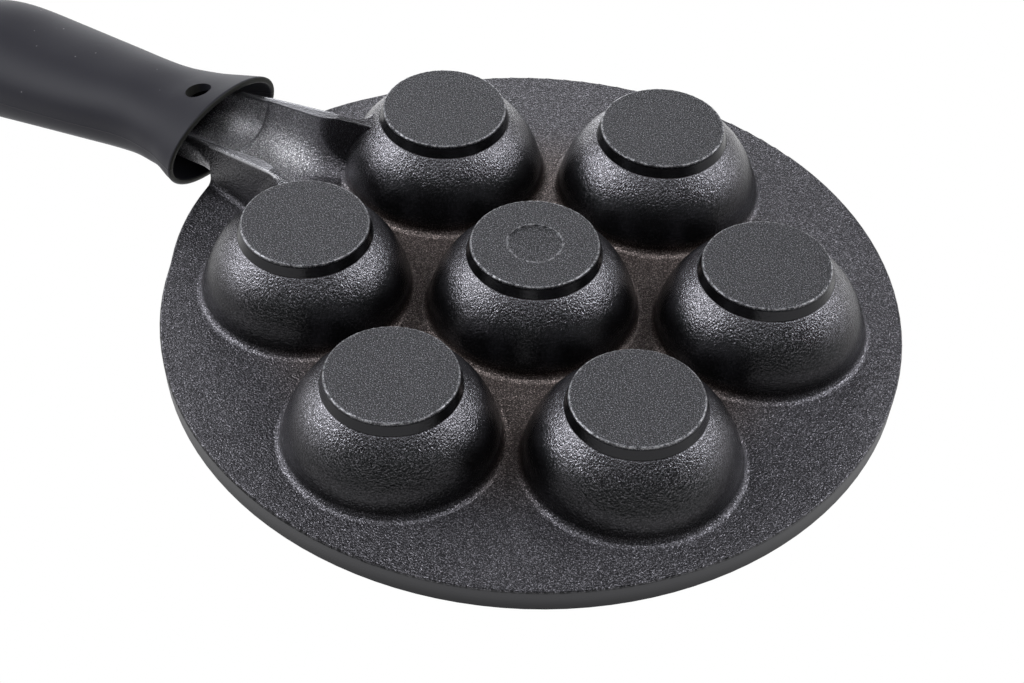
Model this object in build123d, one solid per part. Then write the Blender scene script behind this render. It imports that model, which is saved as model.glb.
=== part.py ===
from build123d import *
from math import atan2, copysign, cos, degrees, pi, radians, sin, sqrt, tan
import os

# Seven-well stuffed-pancake pan: one iron casting and one pull-on silicone grip.
# Millimetres. The pan stands on its seven feet on z = 0, wells up, centred on the
# origin, and its handle runs out along +X and rises.

# Plate
plateRadius = 115.0         # lip's top edge
rimDraft = 0.6              # how much wider the rim is at the plate's underside
lipHeight = 3.3
lipWidth = 3.6
lipRound = 1.2
lipFootRound = 2.0
plateThickness = 4.9
arrisRound = 0.7
tongueBulge = 4.6           # how far the rim runs out towards the handle
tongueCentre = 27.1         # middle of the bulge's wide curve
tongueBlend = 60.0

# Bowls, wells and feet
cupCount = 6                # bowls round the middle one
rimMargin = 10.9            # from the outer bowls to the rim
bowlGap = 2.25              # half the gap between two bowls
bowlCentreDrop = 4.5        # below the lip's top
bowlBlend = 2.0
footInset = 13.4            # foot's edge inside the bowl's widest
footSpread = 1.218          # how much the bowl is wider where the foot leaves it
footHeight = 4.3
footEdgeRound = 0.5
footBlend = 0.8
wellWall = 4.2
wellFloorThickness = 4.8
wellEdgeRound = 1.2
gateInset = 11.4            # from the middle foot's edge to its sunk circle
gateDepth = 0.4

# Neck: a trough open downwards, between the two bowls beside the handle
neckInset = 1.5             # inside the bulge's tip
neckEdgeRise = 2.4          # the walls' lower edges above the feet's own height
neckBendInset = 3.6         # the edges start to climb with the handle short of the bowls' far side
neckEdgeShare = 0.4608      # half width along the walls' edges at the outer end, of the bowl's radius
neckBaseShare = 0.503       # and where the walls meet the plate
bowlEdgeShare = 0.4322      # of the bowl's radius, from its middle to the walls' edge inside it
bowlBaseShare = 0.2666
flankBlendShare = 0.1807    # blend between a wall's flank and the bowl beside it, of the bowl's radius
troughInset = 1.4           # inside the bulge's tip
troughWall = 1.5
troughCornerWidth = 2.8     # what is left flat at each side of the round bottom
troughFlareOffset = 5.5     # past the place where the edges start to climb
troughFlareWall = 2.1
troughFlareBlendShare = 0.753   # of the bowl's radius
troughFloorDrop = 2.2       # how far the floor comes down to the neck's outer end

# Handle's line and the tang under the grip
mouthGap = 4.9              # from the bulge's tip to the grip's mouth
mouthDrop = 7.2             # handle's line below the plate's underside, at the mouth
handleRise = 10.2           # degrees
tangRoot = 12.0             # how far the tang reaches back inside the plate from the mouth
tangLength = 104.0          # beyond the grip's mouth
tangBack = 7.4              # top of the tang above the handle's line, at the mouth
tangTipHalf = 10.2
tangTipDepth = 10.8
tangSideLean = 1.2
tangRound = 3.6
tangCrookPlace = 0.8        # where the back starts to climb into the rim
tangCrookRise = 9.0
tangCrookRound = 8.0
tangRootEdgeWall = 1.0      # walls at the trough's open edge
tangTipEdgeWall = 2.6
tangTroughLean = 3.4        # how much narrower the trough's floor is than its mouth
tangRootRound = 9.0         # trough's rounds at its two ends
tangTipRound = 4.5
tangWeb = 2.6
tangTipWall = 7.0

# Grip
gripLobe = 36.0             # grip beyond the tang's tip
gripHalfWidth = 23.0
gripHalfDepth = 17.0
gripClearance = 0.3
gripLipWall = 2.4
gripSkirt = 24.0            # depth of the flared mouth before the socket closes on the tang
gripHoleRadius = 4.4
gripHolePlace = 9.8
gripLipRound = 0.7
gripEndRound = 2.0
hangHoleRadius = 6.0
hangHoleReach = 17.0        # hole's middle beyond the tang's tip
hangHoleRound = 1.6

flankShare = 0.9            # of a flank's height that its join with a bowl has at least
cutOverrun = 5.0
touch = 0.1                 # how near counts as the same level

# Shares of the grip's length, half width and half depth, each section's power, its lean
# in degrees and its lift as a share of the half depth
gripShares = (
    (0.015, 1.178, 0.935, 2.0, 15.5, 0.02),
    (0.043, 1.1, 0.868, 2.1, 9.6, 0.014),
    (0.071, 1.03, 0.82, 2.15, 4.6, 0.008),
    (0.107, 0.945, 0.776, 2.2, 0, 0),
    (0.143, 0.893, 0.745, 2.3, 0, 0),
    (0.193, 0.837, 0.742, 2.3, 0, 0),
    (0.25, 0.82, 0.76, 2.3, 0, 0),
    (0.357, 0.878, 0.77, 2.3, 0, 0),
    (0.5, 0.952, 0.812, 2.3, 0, 0),
    (0.643, 1.0, 0.9, 2.3, 0, 0),
    (0.743, 1.0, 0.988, 2.3, 0, 0),
    (0.829, 0.957, 0.97, 2.3, 0, 0),
    (0.907, 0.82, 0.82, 2.3, 0, 0),
    (0.964, 0.58, 0.56, 2.3, 0, 0),
    (0.993, 0.3, 0.27, 2.3, 0, 0),
    (1.0, 0.16, 0.14, 2.3, 0, 0),
)
outlinePoints = 20
mouthSteps = 4

tongueReach = plateRadius + tongueBulge
tongueRadius = tongueReach - tongueCentre
cupPitchRadius = (plateRadius - rimMargin + bowlGap) * 2 / 3
bowlRadius = cupPitchRadius / 2 - bowlGap
footRadius = bowlRadius - footInset
seatRadius = footRadius + footSpread
wellMouthRadius = bowlRadius - wellWall
gateRadius = footRadius - gateInset
bowlCentreZ = footHeight + sqrt(bowlRadius ** 2 - seatRadius ** 2)
panHeight = bowlCentreZ + bowlCentreDrop
floorZ = panHeight - lipHeight
undersideZ = floorZ - plateThickness
rimLean = degrees(atan2(rimDraft, panHeight - undersideZ))

neckInner = cupPitchRadius * cos(pi / cupCount)
neckAside = cupPitchRadius * sin(pi / cupCount)
neckOuter = tongueReach - neckInset
neckEdgeHeight = footHeight + neckEdgeRise
neckEdgeBend = neckInner + bowlRadius - neckBendInset
neckOuterHalfEdge = bowlRadius * neckEdgeShare
neckOuterHalfBase = bowlRadius * neckBaseShare
neckInnerHalfEdge = neckAside - bowlRadius * bowlEdgeShare
neckInnerHalfBase = neckAside - bowlRadius * bowlBaseShare
flankBlend = bowlRadius * flankBlendShare
troughEnd = tongueReach - troughInset
troughHalf = neckOuterHalfEdge - troughWall
troughRound = troughHalf - troughCornerWidth
troughFlareStart = neckEdgeBend + troughFlareOffset
troughFlareHalf = neckInnerHalfBase - troughFlareWall
troughFlareBlend = bowlRadius * troughFlareBlendShare

mouthDistance = tongueReach + mouthGap
mouthHeight = undersideZ - mouthDrop
edgeDrop = (mouthHeight - neckEdgeHeight) * cos(radians(handleRise))
edgeDrop -= (mouthDistance - neckEdgeBend) * sin(radians(handleRise))
gripLength = tangLength + gripLobe
hangHolePlace = tangLength + hangHoleReach
handleAxis = Vector(cos(radians(handleRise)), 0, sin(radians(handleRise)))
mouthPoint = Vector(mouthDistance, 0, mouthHeight)


def onHandle(station):
    """A plane square to the handle's line; its x runs across the pan and its y up."""
    return Plane(origin=mouthPoint + handleAxis * station, x_dir=(0, -1, 0), z_dir=-handleAxis)


def alongHandle(height):
    """A plane along the handle; its x is the distance past the grip's mouth."""
    up = Vector(-handleAxis.Z, 0, handleAxis.X)
    return Plane(origin=mouthPoint + up * height, x_dir=handleAxis, z_dir=up)


def besideHandle():
    """The handle's side view: x is the distance past the mouth and y the height."""
    return Plane(origin=mouthPoint, x_dir=handleAxis, z_dir=(0, -1, 0))


def cupPlaces():
    step = 360 / cupCount
    ring = [(cupPitchRadius * cos(radians(step * (k + 0.5))),
             cupPitchRadius * sin(radians(step * (k + 0.5)))) for k in range(cupCount)]
    return [(0, 0)] + ring


def rimOutline():
    """A circle with a wider, softly joined bulge towards the handle."""
    tongue = Pos(tongueReach - tongueRadius, 0) * Circle(tongueRadius)
    outline = Circle(plateRadius + rimDraft) + tongue
    corners = outline.vertices().filter_by(lambda v: abs(v.Y) > footRadius and v.X > 0)
    return fillet(corners, tongueBlend)


def slab():
    """The plate and its rim, solid up to the lip's top."""
    return extrude(Pos(0, 0, undersideZ) * rimOutline(), amount=panHeight - undersideZ, taper=rimLean)


def rimBelow():
    """The rim's surface carried on down to the feet; it trims what runs out to the rim."""
    return extrude(Pos(0, 0, undersideZ) * rimOutline(), amount=undersideZ, dir=(0, 0, -1), taper=-rimLean)


def pool():
    """The sunk cooking face inside the lip."""
    space = Pos(0, 0, floorZ) * Cylinder(plateRadius - lipWidth, lipHeight + cutOverrun,
                                         align=(Align.CENTER, Align.CENTER, Align.MIN))
    return fillet(space.edges().group_by(Axis.Z)[0], lipFootRound)


def bowl():
    """A dome cut off by a flat foot."""
    seatDrop = bowlCentreZ - footHeight
    topRise = undersideZ + plateThickness / 2 - bowlCentreZ
    topRadius = sqrt(bowlRadius ** 2 - topRise ** 2)
    midAngle = atan2((topRise - seatDrop) / 2, (topRadius + seatRadius) / 2)
    foot = (footRadius, 0)
    seat = (seatRadius, footHeight)
    middle = (bowlRadius * cos(midAngle), bowlCentreZ + bowlRadius * sin(midAngle))
    top = (topRadius, bowlCentreZ + topRise)
    outline = Polyline((0, top[1]), (0, 0), foot, seat)
    outline += ThreePointArc(seat, middle, top)
    outline += Line(top, (0, top[1]))
    body = revolve(Plane.XZ * make_face(outline), Axis.Z)
    rings = body.edges().filter_by(GeomType.CIRCLE).sort_by(Axis.Z)
    body = fillet(rings[0], footEdgeRound)
    rings = body.edges().filter_by(lambda e: abs(e.center().Z - footHeight) < touch)
    return fillet(rings, footBlend)


def well():
    """A little less than half a ball, down to the thickness left over the foot."""
    depth = floorZ - wellFloorThickness
    radius = (wellMouthRadius ** 2 + depth ** 2) / (2 * depth)
    return Pos(0, 0, wellFloorThickness + radius) * Sphere(radius)


def neckHalf(x):
    """Half width of the neck along its lower edges; the tang carries the line on."""
    share = (x - neckInner) / (neckOuter - neckInner)
    return neckInnerHalfEdge + (neckOuterHalfEdge - neckInnerHalfEdge) * share


def edgeHeight(x):
    """Height of the walls' lower edges out where they climb."""
    return neckEdgeHeight + (x - neckEdgeBend) * tan(radians(handleRise))


def flankOutline(height, outerHalf, innerHalf):
    return Pos(0, 0, height) * make_face(Polyline(
        (neckInner, -innerHalf), (neckOuter + cutOverrun, -outerHalf),
        (neckOuter + cutOverrun, outerHalf), (neckInner, innerHalf), close=True))


def neck():
    """The trough's two walls, cut off by the rim's own curve."""
    baseSlope = (neckOuterHalfBase - neckInnerHalfBase) / (neckOuter - neckInner)
    block = loft([flankOutline(neckEdgeHeight, neckHalf(neckOuter + cutOverrun), neckInnerHalfEdge),
                  flankOutline(undersideZ, neckOuterHalfBase + baseSlope * cutOverrun, neckInnerHalfBase)],
                 ruled=True)
    far = neckOuter + cutOverrun
    below = make_face(Polyline((neckEdgeBend, neckEdgeHeight), (far, edgeHeight(far)),
                               (far, 0), (neckEdgeBend, 0), close=True))
    block -= extrude(Plane.XZ * below, amount=neckInnerHalfBase, both=True)
    block &= rimBelow()
    return block - trough()


def trough():
    """A round-bottomed cutter that widens between the bowls."""
    start = neckInner - cutOverrun
    outline = make_face(Polyline(
        (start, -troughFlareHalf), (neckInner, -troughFlareHalf), (troughFlareStart, -troughHalf),
        (troughEnd, -troughHalf), (troughEnd, troughHalf), (troughFlareStart, troughHalf),
        (neckInner, troughFlareHalf), (start, troughFlareHalf), close=True))
    turns = outline.vertices().filter_by(lambda v: abs(v.X - troughFlareStart) < troughRound)
    outline = fillet(turns, troughFlareBlend)
    slope = atan2(troughFloorDrop, troughEnd - troughFlareStart)
    roof = Plane(origin=(troughFlareStart, 0, undersideZ), z_dir=(sin(slope), 0, cos(slope)))
    block = split(extrude(outline, amount=panHeight), bisect_by=roof, keep=Keep.BOTTOM)
    crown = block.faces().filter_by(lambda f: f.normal_at().dot(roof.z_dir) > cos(slope / 2))
    sides = [e for e in crown[0].edges() if start < e.center().X < troughEnd
             and abs(e.center().Y) > troughHalf / 2]
    return fillet(sides, troughRound)


def domesJoined(body):
    """The walls with the two bowls beside them, and the broad blends between."""
    for x, y in cupPlaces():
        if x > bowlRadius:
            body += Pos(x, y) * bowl()
    joins = body.edges().filter_by(
        lambda e: neckInner < e.center().X < neckEdgeBend + flankBlend
        and e.bounding_box().size.Z > flankShare * (undersideZ - neckEdgeHeight))
    return fillet(joins, flankBlend)


def underside():
    """Everything that meets at the plate's underside, with the blends there."""
    body = domesJoined(neck()) + slab()
    for x, y in cupPlaces():
        if x <= bowlRadius:
            body += Pos(x, y) * bowl()
    flat = body.faces().filter_by(Plane.XY).filter_by(
        lambda f: abs(f.center().Z - undersideZ) < touch)
    joins = [e for f in flat for e in f.edges() if inside(e) and not inTrough(e)]
    return fillet(joins, bowlBlend)


def rimArris(body):
    """Rounds the rim's lower edge, from one flank of the neck round to the other."""
    edges = body.edges().filter_by(
        lambda e: abs(e.center().Z - undersideZ) < touch and not inside(e) and e.length > bowlBlend)
    return fillet(edges, arrisRound)


def inside(edge):
    """Whether an edge of the underside lies within the rim rather than on it."""
    middle = edge.position_at(0.5)
    return sqrt(middle.X ** 2 + middle.Y ** 2) < plateRadius - lipWidth


def inTrough(edge):
    """Whether an edge of the underside is where the trough's round bottom runs out of it."""
    middle = edge.position_at(0.5)
    return middle.X > cupPitchRadius and abs(middle.Y) < troughHalf


def tangSide():
    """The tang from the side: x is the distance past the mouth; its back climbs into the rim."""
    tip = tangTipDepth / 2
    outline = make_face(Polyline(
        (-tangRoot, -edgeDrop), (0, -edgeDrop), (tangLength, -tip), (tangLength, tip),
        (-tangCrookPlace, tangBack), (-tangRoot, tangBack + tangCrookRise), close=True))
    crook = outline.vertices().filter_by(lambda v: v.X == -tangCrookPlace)
    return fillet(crook, tangCrookRound)


def tangPlan(height, lean):
    """The tang's outline from above, at a height over the handle's line."""
    halves = ((-tangRoot, neckHalf(mouthDistance - tangRoot) - lean),
              (0, neckHalf(mouthDistance) - lean), (tangLength, tangTipHalf - lean))
    outline = [(x, -y) for x, y in halves] + [(x, y) for x, y in reversed(halves)]
    return alongHandle(height) * make_face(Polyline(*outline, close=True))


def tang():
    """A channel open downwards; its walls lean in towards its back."""
    back = tangBack + tangCrookRise
    lean = tangSideLean * (back + edgeDrop) / (tangBack + edgeDrop)
    body = loft([tangPlan(-edgeDrop, 0), tangPlan(back, lean)], ruled=True)
    body &= extrude(besideHandle() * tangSide(), amount=neckInnerHalfBase, both=True)
    shoulders = body.edges().filter_by(onBack)
    return fillet(shoulders, tangRound) - slab() - rimBelow()


def onBack(edge):
    """Whether an edge runs along the tang's back."""
    middle = besideHandle().to_local_coords(edge.position_at(0.5))
    return abs(middle.Z) > tangTipHalf / 2 and middle.Y > tangTipDepth / 4 and edge.length > tangCrookPlace


def tangHollow():
    """The channel's inside, from the neck's trough to the web at the tip."""
    root = hollowSection(-tangRoot, neckHalf(mouthDistance) - tangRootEdgeWall, tangBack,
                         tangRootRound)
    tip = hollowSection(tangLength - tangTipWall, tangTipHalf - tangTipEdgeWall, tangTipDepth / 2,
                        tangTipRound)
    return loft([root, tip])


def hollowSection(station, half, back, rounding):
    high = back - tangWeb
    narrow = half - tangTroughLean
    outline = make_face(Polyline((-half, -edgeDrop), (half, -edgeDrop), (narrow, high), (-narrow, high),
                                 close=True))
    outline = fillet(outline.vertices().filter_by(lambda v: v.Y > 0), rounding)
    return onHandle(station) * outline


def casting():
    body = rimArris(underside())
    body += tang()
    body -= tangHollow()
    body -= pool()
    body = fillet(body.edges().group_by(Axis.Z)[-1], lipRound)
    for x, y in cupPlaces():
        body -= Pos(x, y) * well()
    mouths = body.edges().filter_by(GeomType.CIRCLE)
    mouths = mouths.filter_by(lambda e: abs(e.center().Z - floorZ) < touch
                              and e.radius < bowlRadius)
    body = fillet(mouths, wellEdgeRound)
    return body - Cylinder(gateRadius, 2 * gateDepth)


def gripOutline(station, half, depth, power, lean, lift):
    """A closed curve between an ellipse and a rounded box, on a plane leant over."""
    points = []
    for k in range(outlinePoints):
        angle = 2 * pi * k / outlinePoints
        x = half * copysign(abs(cos(angle)) ** (2 / power), cos(angle))
        y = depth * copysign(abs(sin(angle)) ** (2 / power), sin(angle)) / cos(radians(lean))
        points.append((x, y))
    return onHandle(station) * Pos(0, lift) * Rot(-lean, 0, 0) * make_face(Spline(points, periodic=True))


def gripSections(wall):
    return [gripOutline(a * gripLength, w * gripHalfWidth - wall, d * gripHalfDepth - wall, p, t,
                        r * gripHalfDepth) for a, w, d, p, t, r in gripShares]


def gripMouth():
    """The flared hollow behind the lip, narrowing down to the socket."""
    along, width, depth, power, lean, lift = gripShares[0]
    mouth = along * gripLength
    half = gripHalfWidth * width - gripLipWall
    deep = gripHalfDepth * depth - gripLipWall
    innerHalf = neckHalf(mouthDistance) + gripClearance
    innerDeep = tangBack + gripClearance
    sections = [gripOutline(mouth - gripLipWall, half, deep, power, lean, lift * gripHalfDepth)]
    for k in range(mouthSteps + 1):
        share = k / mouthSteps
        fall = (1 + cos(pi * share)) / 2
        station = mouth + (gripSkirt - mouth) * share
        sections.append(gripOutline(station, innerHalf + (half - innerHalf) * fall,
                                    innerDeep + (deep - innerDeep) * fall, power, lean * fall ** 2,
                                    lift * gripHalfDepth * fall))
    return loft(sections)


def socket():
    """Room for the tang, a clearance wider all round."""
    lean = tangSideLean
    out = gripClearance
    tip = tangTipDepth / 2
    root = hollowBox(-gripLipWall, neckHalf(mouthDistance) + out, -edgeDrop - out, tangBack + out, lean)
    end = hollowBox(tangLength + out, tangTipHalf + out, -tip - out, tip + out, lean)
    return loft([root, end])


def hollowBox(station, half, low, high, lean):
    outline = make_face(Polyline((-half, low), (half, low), (half - lean, high), (lean - half, high),
                                 close=True))
    outline = fillet(outline.vertices().filter_by(lambda v: v.Y > 0), tangRound)
    return onHandle(station) * outline


def grip():
    body = loft(gripSections(0))
    body -= gripMouth()
    lip = gripShares[0][0] * gripLength
    rings = body.edges().filter_by(lambda e: abs(onAxis(e) - lip) < gripLipRound)
    body = fillet(rings, gripLipRound)
    body -= socket()
    body -= drilled(hangHolePlace, hangHoleRadius, 2 * gripHalfDepth)
    rims = body.edges().filter_by(
        lambda e: abs(onAxis(e) - hangHolePlace) < hangHoleRadius
        and e.bounding_box().size.Y > hangHoleRadius)
    body = fillet(rims, hangHoleRound)
    body = fillet(body.edges().filter_by(lambda e: onAxis(e) > gripLength - gripEndRound / 9), gripEndRound)
    return body - drilled(gripHolePlace, gripHoleRadius, gripHalfDepth)


def onAxis(edge):
    """How far past the mouth an edge's middle lies."""
    return besideHandle().to_local_coords(edge.bounding_box().center()).X


def drilled(station, radius, length):
    """A round cutter through the grip's underside; a long one comes out at the top."""
    return alongHandle(-gripHalfDepth) * Pos(station, 0) * Cylinder(
        radius, length, align=(Align.CENTER, Align.CENTER, Align.MIN))


os.makedirs("parts", exist_ok=True)
export_step(casting(), "parts/pan_casting.step")
export_step(grip(), "parts/grip_sleeve.step")
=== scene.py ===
import math

import bmesh
import bpy
from mathutils import Matrix, Vector

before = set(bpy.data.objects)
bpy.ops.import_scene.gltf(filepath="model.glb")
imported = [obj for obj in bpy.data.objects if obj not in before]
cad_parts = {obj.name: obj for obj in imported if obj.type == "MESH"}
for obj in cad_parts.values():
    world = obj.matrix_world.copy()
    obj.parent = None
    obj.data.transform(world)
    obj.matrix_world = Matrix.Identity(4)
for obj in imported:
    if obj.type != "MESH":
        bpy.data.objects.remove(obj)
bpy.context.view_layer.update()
scene = bpy.context.scene


# short ways to add a shader node, where a value is a number, a colour or another node's output

def addNode(tree, kind, inputs=None, **settings):
    node = tree.nodes.new(kind)
    for key, value in settings.items():
        setattr(node, key, value)
    for key, value in (inputs or {}).items():
        if isinstance(value, bpy.types.NodeSocket):
            tree.links.new(value, node.inputs[key])
        else:
            node.inputs[key].default_value = value
    return node


def addMath(tree, operation, first, second=0.0):
    return addNode(tree, "ShaderNodeMath", {0: first, 1: second}, operation=operation).outputs[0]


def addProduct(tree, first, *others):
    product = first
    for other in others:
        product = addMath(tree, "MULTIPLY", product, other)
    return product


def addSum(tree, first, second):
    return addMath(tree, "ADD", first, second)


def addDistance(tree, value, middle):
    return addMath(tree, "ABSOLUTE", addMath(tree, "SUBTRACT", value, middle))


def addLength(tree, first, second):
    squares = addSum(tree, addProduct(tree, first, first), addProduct(tree, second, second))
    return addMath(tree, "SQRT", squares)


def addRange(tree, value, low, high, toLow=0.0, toHigh=1.0):
    node = addNode(tree, "ShaderNodeMapRange", {0: value, 1: low, 2: high, 3: toLow, 4: toHigh},
                   interpolation_type="SMOOTHSTEP")
    return node.outputs[0]


def mixValue(tree, share, first, second):
    return addNode(tree, "ShaderNodeMix", {0: share, 2: first, 3: second}).outputs[0]


def mixColour(tree, share, first, second):
    return addNode(tree, "ShaderNodeMix", {0: share, 6: first, 7: second}, data_type="RGBA").outputs[2]


def scaleColour(tree, colour, factor):
    start = colour if isinstance(colour, bpy.types.NodeSocket) else colour[:3]
    return addNode(tree, "ShaderNodeVectorMath", {0: start, 3: factor}, operation="SCALE").outputs[0]


def addNoise(tree, place, scale, detail=2.0, rough=0.5):
    node = addNode(tree, "ShaderNodeTexNoise",
                   {"Vector": place, "Scale": scale, "Detail": detail, "Roughness": rough})
    return node.outputs[0]


def addBump(tree, shader, height):
    bump = addNode(tree, "ShaderNodeBump", {"Strength": 1.0, "Distance": 1.0, "Height": height})
    tree.links.new(bump.outputs[0], shader.inputs["Normal"])


def newMaterial(name):
    material = bpy.data.materials.new(name)
    material.use_nodes = True
    return material, material.node_tree, material.node_tree.nodes["Principled BSDF"]


def newGroup(name, inputs, outputs):
    group = bpy.data.node_groups.new(name, "ShaderNodeTree")
    for label, kind, value in inputs:
        socket = group.interface.new_socket(label, in_out="INPUT", socket_type=kind)
        if value is not None:
            socket.default_value = value
    for label in outputs:
        group.interface.new_socket(label, in_out="OUTPUT", socket_type="NodeSocketFloat")
    return group, group.nodes.new("NodeGroupInput"), group.nodes.new("NodeGroupOutput")


# shared effects

sandPattern = {
    "fineRatio": 2.3,              # fine bumps to each coarse one, along a line
    "fineShare": 0.35,             # of the coarse bumps' height
    "slowShare": 0.6,
    "speckle": (0.34, 0.66),       # of the glint noise: from dark to light points
    "spark": (0.57, 0.70),         # and its few bright ones
}


def makeGrain(pattern):
    group, given, out = newGroup("sandGrain", (
        ("Place", "NodeSocketVector", None),
        ("Grain", "NodeSocketFloat", 1000.0),     # bumps per metre
        ("Glint", "NodeSocketFloat", 2100.0),     # light and dark points per metre
        ("Waves", "NodeSocketFloat", 220.0),      # slow unevenness per metre
    ), ("Height", "Speckle", "Spark", "Slow"))
    place, grain = given.outputs["Place"], given.outputs["Grain"]
    coarse = addNoise(group, place, grain, 1.0, 0.4)
    fine = addNoise(group, place, addProduct(group, grain, pattern["fineRatio"]), 1.0)
    slow = addNoise(group, place, given.outputs["Waves"])
    height = addSum(group, coarse, addProduct(group, fine, pattern["fineShare"]))
    height = addSum(group, height, addProduct(group, slow, pattern["slowShare"]))
    glint = addNoise(group, place, given.outputs["Glint"], 1.0, 0.6)
    for label, value in (("Height", height), ("Speckle", addRange(group, glint, *pattern["speckle"])),
                         ("Spark", addRange(group, glint, *pattern["spark"])), ("Slow", slow)):
        group.links.new(value, out.inputs[label])
    return group


def makeCupPlace():
    group, given, out = newGroup("cupPlace", (
        ("Place", "NodeSocketVector", None),
        ("Pitch", "NodeSocketFloat", 0.0709),     # from the pan's middle to each outer cup's axis
    ), ("Reach", "Radius", "Turn", "Level", "Along", "Aside"))
    x, y, z = addNode(group, "ShaderNodeSeparateXYZ", {0: given.outputs["Place"]}).outputs
    radius = addLength(group, x, y)
    turn = addMath(group, "ARCTAN2", y, x)
    # the ring of six cups folds onto one cup, half a step from the handle's line
    halfStep = math.pi / 6
    fromCup = addMath(group, "SUBTRACT", halfStep, addMath(group, "PINGPONG", turn, halfStep))
    outward = addMath(group, "SUBTRACT", addProduct(group, radius, addMath(group, "COSINE", fromCup)),
                      given.outputs["Pitch"])
    across = addProduct(group, radius, addMath(group, "SINE", fromCup))
    reach = addMath(group, "MINIMUM", radius, addLength(group, outward, across))
    for label, value in (("Reach", reach), ("Radius", radius), ("Turn", turn), ("Level", z),
                         ("Along", x), ("Aside", addMath(group, "ABSOLUTE", y))):
        group.links.new(value, out.inputs[label])
    return group


sandGrain = makeGrain(sandPattern)
cupPlace = makeCupPlace()
print("shared effects ready")


# the pan's iron: each pair of lengths says where a finish starts and where it is full

panLook = {
    "colours": {
        "cup": (0.163, 0.160, 0.173, 1),
        "plate": (0.119, 0.116, 0.127, 1),
        "brown": (0.158, 0.133, 0.125, 1),     # thin seasoning on the plate between the cups
        "face": (0.088, 0.088, 0.094, 1),      # ground foot faces
        "side": (0.028, 0.028, 0.030, 1),      # the feet's smooth upright sides
        "wornAndGlint": (0.480, 0.480, 0.500, 1),      # painted glint on the worn edges of the foot faces and the gate circle
        "rim": (0.055, 0.055, 0.059, 1),
        "rimShade": (0.022, 0.022, 0.024, 1),    # painted shade: the rim's side darker towards the cooking side, and the dark line along its edge at the underside
        "land": (0.180, 0.180, 0.192, 1),      # painted highlight on the flat lower edges of the neck's walls
        "landEdge": (0.420, 0.420, 0.440, 1),  # and a painted glint on their outer corners
        # painted highlight: the neck's trough coloured pale
        "trough": (0.540, 0.535, 0.556, 1),
    },
    "metallic": 0.9,
    "roughness": {"cup": 0.19, "plate": 0.34, "trough": 0.48, "face": 0.46, "rim": 0.50},
    "unevenness": 0.08,                        # what the slow waves add to the roughness
    "wornPolish": 0.10,                        # what the worn edges take from it
    "grain": {"Grain": 1600.0, "Glint": 2800.0},
    "sand": {"Grain": 1500.0, "Glint": 2800.0, "Waves": 500.0},
    "grainDepth": 0.00027,
    "sandDepth": 0.00030,
    "streakDepth": 0.00003,
    "calmShare": 0.25,                         # what is left of the grain where it lies calm
    "calmWeight": 0.75,                        # on the low cups and the lands
    "speckle": (0.46, 1.16),                   # from the darkest point to the lightest
    "sparks": (0.7, 2.2),                      # on the cups and on the plate
    "faceSpeckle": (0.46, 1.12),
    "faceSparks": 3.4,
    "lowShade": 0.25,                          # how dark the cups are low down
    "flankWeight": 0.85,
    "landWeight": 0.8,
    "landBrighter": 1.8,                       # the lands' painted highlight, near the cups
    "ringWeight": 0.75,
    "gaps": (0.42, 0.60),                      # where the worn edges are broken
    "gapNoise": 900.0,
    "streaksRound": 14.0,                      # casting streaks on the rim's side
    "streaksUp": 2600.0,
    "undersideLevel": 0.0263,
    "plateRadius": 0.115,
    "footRadius": 0.0198,
    "gateRadius": 0.0084,                      # the sunk circle in the middle foot
    "troughHalf": 0.0140,
    "troughTop": 0.0008,                       # above the underside
    "landLevel": 0.0067,
    "landBend": 0.0910,                        # where the neck starts to rise with the handle
    "landRise": 0.180,
    "neckHalf": 0.02738,                       # half width over the walls, carried back to the pan's middle
    "neckNarrowing": 0.1023,
    "tangBackLevel": 0.0026,                   # the tang hollow's ceiling, carried back to the pan's middle
    "rimLineLift": 0.0005,                     # both from the underside
    "plateLift": -0.001,
    "levels": {                                # from the floor
        "footFace": (0.0010, 0.0006),
        "faceEdge": (0.0006, 0.0003),
        "sideBottom": (0.0005, 0.0010),
        "sideTop": (0.0046, 0.0040),
        "cupLow": (0.0075, 0.0165),
        "cupEnd": (0.0256, 0.0236),
    },
    "lifts": {                                 # from the plate's underside
        "rim": (0.0002, 0.0008),
        "rimHigh": (0.0020, 0.0080),
        "underneath": (0.0012, 0.0004),
    },
    "edges": {                                 # from the plate's edge
        "rim": (-0.0012, -0.0002),
        "rimLine": (-0.0006, 0.0),
    },
    "reaches": {                               # from the line, ring or level that each one follows
        "faceEdge": (-0.0006, -0.0003),
        "gate": (0.0007, 0.0002),
        "rimLine": (0.0007, 0.0003),
        "plate": (0.004, 0.0012),
        "brown": (0.092, 0.060),
        "wellWall": (0.0295, 0.0310),
        "land": (0.0012, 0.0003),
        "landEdge": (0.0007, 0.0002),
        "ceiling": (0.0004, -0.0002),
        "trough": (0.0003, -0.0001),
        "flank": (0.0, 0.0008),
        "neck": (0.026, 0.018),
    },
    "stretches": {                             # along the handle's line, from the pan's middle
        "neck": (0.074, 0.084),
        "landEnd": (0.089, 0.100),
        "landBright": (0.097, 0.090),
        "trough": (0.088, 0.108),
        "tang": (0.1185, 0.1196),
        "troughEnd": (0.142, 0.132),
    },
    "farSide": (-0.05, 0.05),                  # turn about the pan's middle, in radians
}


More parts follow.
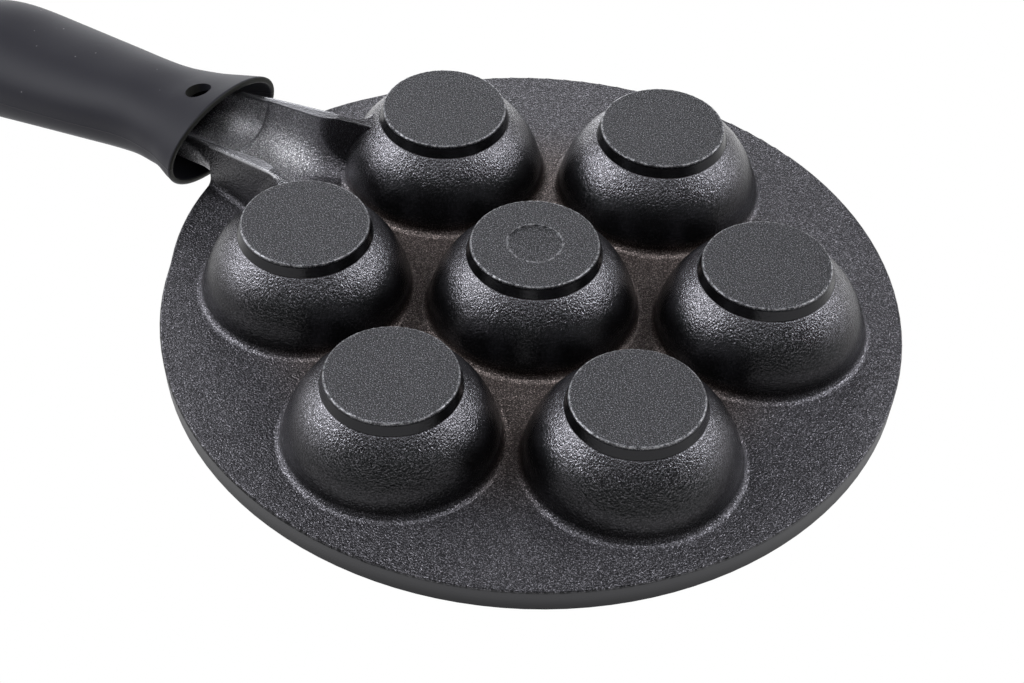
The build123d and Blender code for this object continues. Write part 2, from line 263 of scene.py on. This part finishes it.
def findNeck(tree, look, cup, lift):
    level, along, aside = cup.outputs["Level"], cup.outputs["Along"], cup.outputs["Aside"]
    stretch, reach = look["stretches"], look["reaches"]
    inNeck = addProduct(tree, addRange(tree, along, *stretch["neck"]),
                        addRange(tree, aside, *reach["neck"]),
                        addRange(tree, lift, *look["lifts"]["underneath"]))
    pastHalf = addMath(tree, "SUBTRACT", aside, look["troughHalf"])
    onFlank = addProduct(tree, inNeck, addRange(tree, pastHalf, *reach["flank"]))

    # the walls' lower edges get a painted highlight, less so on one wall where it meets the cups
    pastBend = addMath(tree, "MAXIMUM", addMath(tree, "SUBTRACT", along, look["landBend"]), 0.0)
    landLift = addMath(tree, "SUBTRACT", level, addProduct(tree, pastBend, look["landRise"]))
    landAway = addDistance(tree, landLift, look["landLevel"])
    landHighlightShare = mixValue(tree, addRange(tree, cup.outputs["Turn"], *look["farSide"]), 1.0,
                      addRange(tree, along, *stretch["landEnd"]))
    onLand = addProduct(tree, addRange(tree, landAway, *reach["land"]), inNeck, landHighlightShare)

    # the trough's ceiling is the plate, and past the rim it is the back of the tang's hollow
    tangBack = addSum(tree, addProduct(tree, along, look["landRise"]), look["tangBackLevel"])
    troughTop = look["undersideLevel"] + look["troughTop"]
    ceiling = mixValue(tree, addRange(tree, along, *stretch["tang"]), troughTop, tangBack)
    under = addRange(tree, addMath(tree, "SUBTRACT", level, ceiling), *reach["ceiling"])
    inTrough = addProduct(tree, addRange(tree, along, *stretch["trough"]), under,
                          addRange(tree, pastHalf, *reach["trough"]),
                          addRange(tree, along, *stretch["troughEnd"]))
    neckSide = addSum(tree, aside, addProduct(tree, along, look["neckNarrowing"]))
    onLandEdge = addRange(tree, addDistance(tree, neckSide, look["neckHalf"]), *reach["landEdge"])
    return {"neck": inNeck, "flank": onFlank, "land": onLand, "landEdge": onLandEdge, "trough": inTrough}


def findFinishes(tree, look, cup, place):
    level, radius = cup.outputs["Level"], cup.outputs["Radius"]
    levels, reach = look["levels"], look["reaches"]
    lift = addMath(tree, "SUBTRACT", level, look["undersideLevel"])
    edge = addMath(tree, "SUBTRACT", radius, look["plateRadius"])
    found = {}
    found["foot"] = addRange(tree, level, *levels["footFace"])
    found["footSide"] = addProduct(tree, addRange(tree, level, *levels["sideTop"]),
                                   addRange(tree, level, *levels["sideBottom"]))
    found["rim"] = addProduct(tree, addRange(tree, edge, *look["edges"]["rim"]),
                              addRange(tree, lift, *look["lifts"]["rim"]))
    found["rimHigh"] = addRange(tree, lift, *look["lifts"]["rimHigh"])
    found["plate"] = addRange(tree, addDistance(tree, lift, look["plateLift"]), *reach["plate"])
    found["between"] = addProduct(tree, found["plate"], addRange(tree, radius, *reach["brown"]),
                                  addRange(tree, cup.outputs["Reach"], *reach["wellWall"]))

    # thin lines, broken by a noise: a painted glint on the worn edges of the foot faces, and a dark one of
    # painted shade under the rim
    gaps = addRange(tree, addNoise(tree, place, look["gapNoise"], 3.0, 0.7), *look["gaps"])
    footAway = addMath(tree, "SUBTRACT", cup.outputs["Reach"], look["footRadius"])
    faceEdge = addProduct(tree, addRange(tree, footAway, *reach["faceEdge"]),
                          addRange(tree, level, *levels["faceEdge"]))
    gateAway = addDistance(tree, radius, look["gateRadius"])
    gateEdge = addProduct(tree, addRange(tree, gateAway, *reach["gate"]), found["foot"])
    found["wornAndGlint"] = addProduct(tree, addMath(tree, "MAXIMUM", faceEdge, gateEdge), gaps)
    rimLineAway = addDistance(tree, lift, look["rimLineLift"])
    found["rimLine"] = addProduct(tree, addRange(tree, rimLineAway, *reach["rimLine"]),
                                  addRange(tree, edge, *look["edges"]["rimLine"]), gaps)

    found.update(findNeck(tree, look, cup, lift))
    found["low"] = addProduct(tree, addRange(tree, level, *levels["cupLow"]),
                              addRange(tree, level, *levels["cupEnd"]),
                              addMath(tree, "SUBTRACT", 1.0, found["neck"]))
    return found


def addIronColour(tree, look, found, grain, sand, along):
    paint = look["colours"]
    colour = mixColour(tree, found["plate"], paint["cup"], paint["plate"])
    colour = mixColour(tree, found["between"], colour, paint["brown"])
    # painted shade: the rim's side darkens towards the cooking side
    rimColour = mixColour(tree, found["rimHigh"], paint["rim"], paint["rimShade"])
    colour = mixColour(tree, found["rim"], colour, rimColour)
    # painted highlight: pale iron in the neck's trough
    colour = mixColour(tree, found["trough"], colour, paint["trough"])

    sparks = mixValue(tree, found["plate"], *look["sparks"])
    shade = addSum(tree, addRange(tree, grain.outputs["Speckle"], 0.0, 1.0, *look["speckle"]),
                   addProduct(tree, grain.outputs["Spark"], sparks))
    shade = mixValue(tree, found["rim"], shade, 1.0)
    # painted shade: the cups low down and the neck's outer flanks are darkened
    dim = addMath(tree, "MAXIMUM", found["low"], addProduct(tree, found["flank"], look["flankWeight"]))
    shade = addProduct(tree, shade, mixValue(tree, dim, 1.0, look["lowShade"]))
    colour = scaleColour(tree, colour, shade)

    colour = mixColour(tree, found["footSide"], colour, paint["side"])
    faceShade = addSum(tree, addRange(tree, sand.outputs["Speckle"], 0.0, 1.0, *look["faceSpeckle"]),
                       addProduct(tree, sand.outputs["Spark"], look["faceSparks"]))
    colour = mixColour(tree, found["foot"], colour, scaleColour(tree, paint["face"], faceShade))
    # painted highlight on the walls' lower edges, with a painted glint on their outer corners
    brighter = addRange(tree, along, *look["stretches"]["landBright"], 1.0, look["landBrighter"])
    landHighlightColour = mixColour(tree, found["landEdge"], paint["land"], paint["landEdge"])
    landHighlightColour = scaleColour(tree, landHighlightColour, brighter)
    colour = mixColour(tree, addProduct(tree, found["land"], look["landWeight"]), colour, landHighlightColour)
    # painted shade: a dark broken line along the rim's edge at the underside
    colour = mixColour(tree, found["rimLine"], colour, paint["rimShade"])
    # painted glint: a pale colour on the worn edges of the foot faces and the gate circle
    return mixColour(tree, addProduct(tree, found["wornAndGlint"], look["ringWeight"]), colour, paint["wornAndGlint"])


def addIronRoughness(tree, look, found, grain):
    finish = look["roughness"]
    rough = mixValue(tree, found["plate"], finish["cup"], finish["plate"])
    rough = addSum(tree, rough, addProduct(tree, grain.outputs["Slow"], look["unevenness"]))
    rough = mixValue(tree, found["trough"], rough, finish["trough"])
    rough = mixValue(tree, found["foot"], rough, finish["face"])
    rough = mixValue(tree, found["rim"], rough, finish["rim"])
    return addMath(tree, "SUBTRACT", rough, addProduct(tree, found["wornAndGlint"], look["wornPolish"]))


def addIronHeight(tree, look, found, grain, sand, cup):
    streakPlace = addNode(tree, "ShaderNodeCombineXYZ", {
        0: addProduct(tree, cup.outputs["Turn"], look["streaksRound"]),
        2: addProduct(tree, cup.outputs["Level"], look["streaksUp"])}).outputs[0]
    streaks = addNoise(tree, streakPlace, 1.0)
    lowOrLand = addProduct(tree, addMath(tree, "MAXIMUM", found["low"], found["land"]), look["calmWeight"])
    calm = addMath(tree, "MAXIMUM", found["footSide"], lowOrLand)
    depth = mixValue(tree, calm, look["grainDepth"], look["grainDepth"] * look["calmShare"])
    height = addProduct(tree, grain.outputs["Height"], depth)
    sandHeight = addProduct(tree, sand.outputs["Height"], look["sandDepth"])
    height = mixValue(tree, found["foot"], height, sandHeight)
    return mixValue(tree, found["rim"], height, addProduct(tree, streaks, look["streakDepth"]))


def makeIron(look):
    material, tree, shader = newMaterial("seasonedIron")
    place = addNode(tree, "ShaderNodeTexCoord").outputs["Object"]
    cup = addNode(tree, "ShaderNodeGroup", {"Place": place}, node_tree=cupPlace)
    grain = addNode(tree, "ShaderNodeGroup", {"Place": place, **look["grain"]}, node_tree=sandGrain)
    sand = addNode(tree, "ShaderNodeGroup", {"Place": place, **look["sand"]}, node_tree=sandGrain)
    found = findFinishes(tree, look, cup, place)
    colour = addIronColour(tree, look, found, grain, sand, cup.outputs["Along"])
    tree.links.new(colour, shader.inputs["Base Color"])
    tree.links.new(addIronRoughness(tree, look, found, grain), shader.inputs["Roughness"])
    shader.inputs["Metallic"].default_value = look["metallic"]
    addBump(tree, shader, addIronHeight(tree, look, found, grain, sand, cup))
    return material


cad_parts["pan_casting"].data.materials[0] = makeIron(panLook)
print("casting dressed")


# the grip's silicone

gripLook = {
    "colour": (0.0172, 0.0169, 0.0230, 1),
    "lip": (0.019, 0.019, 0.016, 1),          # the mouth's ring
    "lipFacing": (0.5, 0.8),
    "dust": (0.16, 0.15, 0.16, 1),
    "dustCells": 420.0,
    "dustRare": (0.955, 0.97),
    "dustSize": (0.16, 0.06),
    "roughness": 0.54,
    "unevenness": 0.08,
    "ior": 1.31,
    "skin": 900.0,
    "skinDepth": 0.000012,
    "swell": 30.0,
    "swellDepth": 0.0004,
    "mouth": (0.1245, 0.0, 0.0191),           # where the handle's line starts
    "rise": math.radians(10.2),
    "seamHalf": 0.0004,
    "seamDepth": 0.00012,
}


def addSeam(tree, look, place, turn):
    start = turn @ Vector(look["mouth"])
    local = addNode(tree, "ShaderNodeMapping", {"Vector": place, "Location": -start,
                                                "Rotation": (0, look["rise"], 0)}).outputs[0]
    aboveLine = addNode(tree, "ShaderNodeSeparateXYZ", {0: local}).outputs[2]
    return addRange(tree, addMath(tree, "ABSOLUTE", aboveLine), look["seamHalf"], 0.0)


def addDust(tree, look, place):
    cells = addNode(tree, "ShaderNodeTexVoronoi", {"Vector": place, "Scale": look["dustCells"]})
    chance = addNode(tree, "ShaderNodeSeparateColor", {0: cells.outputs["Color"]}).outputs[0]
    return addProduct(tree, addRange(tree, chance, *look["dustRare"]),
                      addRange(tree, cells.outputs["Distance"], *look["dustSize"]))


def makeSilicone(look):
    material, tree, shader = newMaterial("blackSilicone")
    place = addNode(tree, "ShaderNodeTexCoord").outputs["Object"]
    turn = Matrix.Rotation(look["rise"], 3, "Y")
    swell = addNoise(tree, place, look["swell"], 1.0)
    height = addSum(tree, addProduct(tree, addNoise(tree, place, look["skin"]), look["skinDepth"]),
                    addProduct(tree, swell, look["swellDepth"]))
    height = addSum(tree, height, addProduct(tree, addSeam(tree, look, place, turn), look["seamDepth"]))
    addBump(tree, shader, height)

    normal = addNode(tree, "ShaderNodeNewGeometry").outputs["Normal"]
    mouthWay = turn.inverted() @ Vector((-1, 0, 0))
    facing = addNode(tree, "ShaderNodeVectorMath", {0: normal, 1: tuple(mouthWay)}, operation="DOT_PRODUCT")
    onLip = addRange(tree, facing.outputs["Value"], *look["lipFacing"])
    colour = mixColour(tree, onLip, look["colour"], look["lip"])
    colour = mixColour(tree, addDust(tree, look, place), colour, look["dust"])
    tree.links.new(colour, shader.inputs["Base Color"])
    rough = addSum(tree, look["roughness"], addProduct(tree, swell, look["unevenness"]))
    tree.links.new(rough, shader.inputs["Roughness"])
    shader.inputs["IOR"].default_value = look["ior"]
    return material


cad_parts["grip_sleeve"].data.materials[0] = makeSilicone(gripLook)
print("grip dressed")


# the studio: the camera and most of the lamps are below the floor, which is clear from there

studio = {
    "floorColour": (0.72, 0.72, 0.72, 1),
    "floorRoughness": 0.9,
    "floorHalf": 6.0,
    "floorDrop": 0.0003,
    "skyLevel": 1.0,
    "deepLevel": 0.01,
    "skyEdge": (-0.06, -0.01),
    "lampColour": (0.96, 0.97, 1.0),
    "lamps": {                                # way, distance, size, watts
        "leftBox": ((0.78, -0.31, -0.55), 1.0, 0.7, 8.8),
        "rightBox": ((-0.51, 0.61, -0.60), 1.0, 0.7, 7.0),
        "backStrip": ((0.63, 0.78, -0.10), 1.0, 0.8, 4.6),
        "lowBox": ((-0.08, -0.20, -0.97), 1.0, 0.9, 3.0),
        "topBox": ((0.25, 0.30, 0.90), 1.4, 0.9, 6.0),
    },
    "cameraPlace": (-0.29494, -0.44236, -0.47813),
    "cameraForward": (0.40281, 0.59017, 0.69961),
    "cameraUp": (0.42755, 0.55452, -0.71394),
    "lens": 82.37,                            # millimetres, as is the sensor
    "sensor": 36,
    "clip": (0.01, 50),
}


def makeFloor(look):
    mesh = bpy.data.meshes.new("floor")
    shape = bmesh.new()
    bmesh.ops.create_grid(shape, x_segments=1, y_segments=1, size=look["floorHalf"])
    bmesh.ops.translate(shape, verts=shape.verts, vec=(0, 0, -look["floorDrop"]))
    shape.to_mesh(mesh)
    shape.free()
    floor = bpy.data.objects.new("floor", mesh)
    scene.collection.objects.link(floor)
    material, tree, shader = newMaterial("paleFloor")
    shader.inputs["Base Color"].default_value = look["floorColour"]
    shader.inputs["Roughness"].default_value = look["floorRoughness"]
    clear = addNode(tree, "ShaderNodeBsdfTransparent")
    behind = addNode(tree, "ShaderNodeNewGeometry").outputs["Backfacing"]
    blend = addNode(tree, "ShaderNodeMixShader", {0: behind, 1: shader.outputs[0], 2: clear.outputs[0]})
    tree.links.new(blend.outputs[0], tree.nodes["Material Output"].inputs[0])
    mesh.materials.append(material)
    floor.visible_glossy = False
    floor.visible_diffuse = False
    floor.visible_shadow = False


def makeWorld(look):
    world = bpy.data.worlds.new("studioRoom")
    world.use_nodes = True
    scene.world = world
    tree = world.node_tree
    way = addNode(tree, "ShaderNodeTexCoord").outputs["Generated"]
    height = addNode(tree, "ShaderNodeSeparateXYZ", {0: way}).outputs[2]
    level = addRange(tree, height, *look["skyEdge"], look["deepLevel"], look["skyLevel"])
    tree.links.new(level, tree.nodes["Background"].inputs["Strength"])
    tree.nodes["Background"].inputs["Color"].default_value = (1, 1, 1, 1)


def makeLamp(name, colour, way, distance, size, watts):
    data = bpy.data.lights.new(name, "AREA")
    data.shape = "SQUARE"
    data.size = size
    data.energy = watts
    data.color = colour
    lamp = bpy.data.objects.new(name, data)
    scene.collection.objects.link(lamp)
    direction = Vector(way).normalized()
    lamp.location = direction * distance
    lamp.rotation_euler = direction.to_track_quat("Z", "Y").to_euler()
    lamp.visible_camera = False


def makeCamera(look):
    data = bpy.data.cameras.new("photoCamera")
    data.lens = look["lens"]
    data.sensor_width = look["sensor"]
    data.clip_start, data.clip_end = look["clip"]
    camera = bpy.data.objects.new("photoCamera", data)
    scene.collection.objects.link(camera)
    back = -Vector(look["cameraForward"]).normalized()
    up = Vector(look["cameraUp"]).normalized()
    turn = Matrix((up.cross(back), up, back)).transposed().to_4x4()
    camera.matrix_world = Matrix.Translation(look["cameraPlace"]) @ turn
    scene.camera = camera


makeFloor(studio)
makeWorld(studio)
for lampName, lampValues in studio["lamps"].items():
    makeLamp(lampName, studio["lampColour"], *lampValues)
makeCamera(studio)
scene.view_settings.view_transform = "Standard"
print("studio ready")
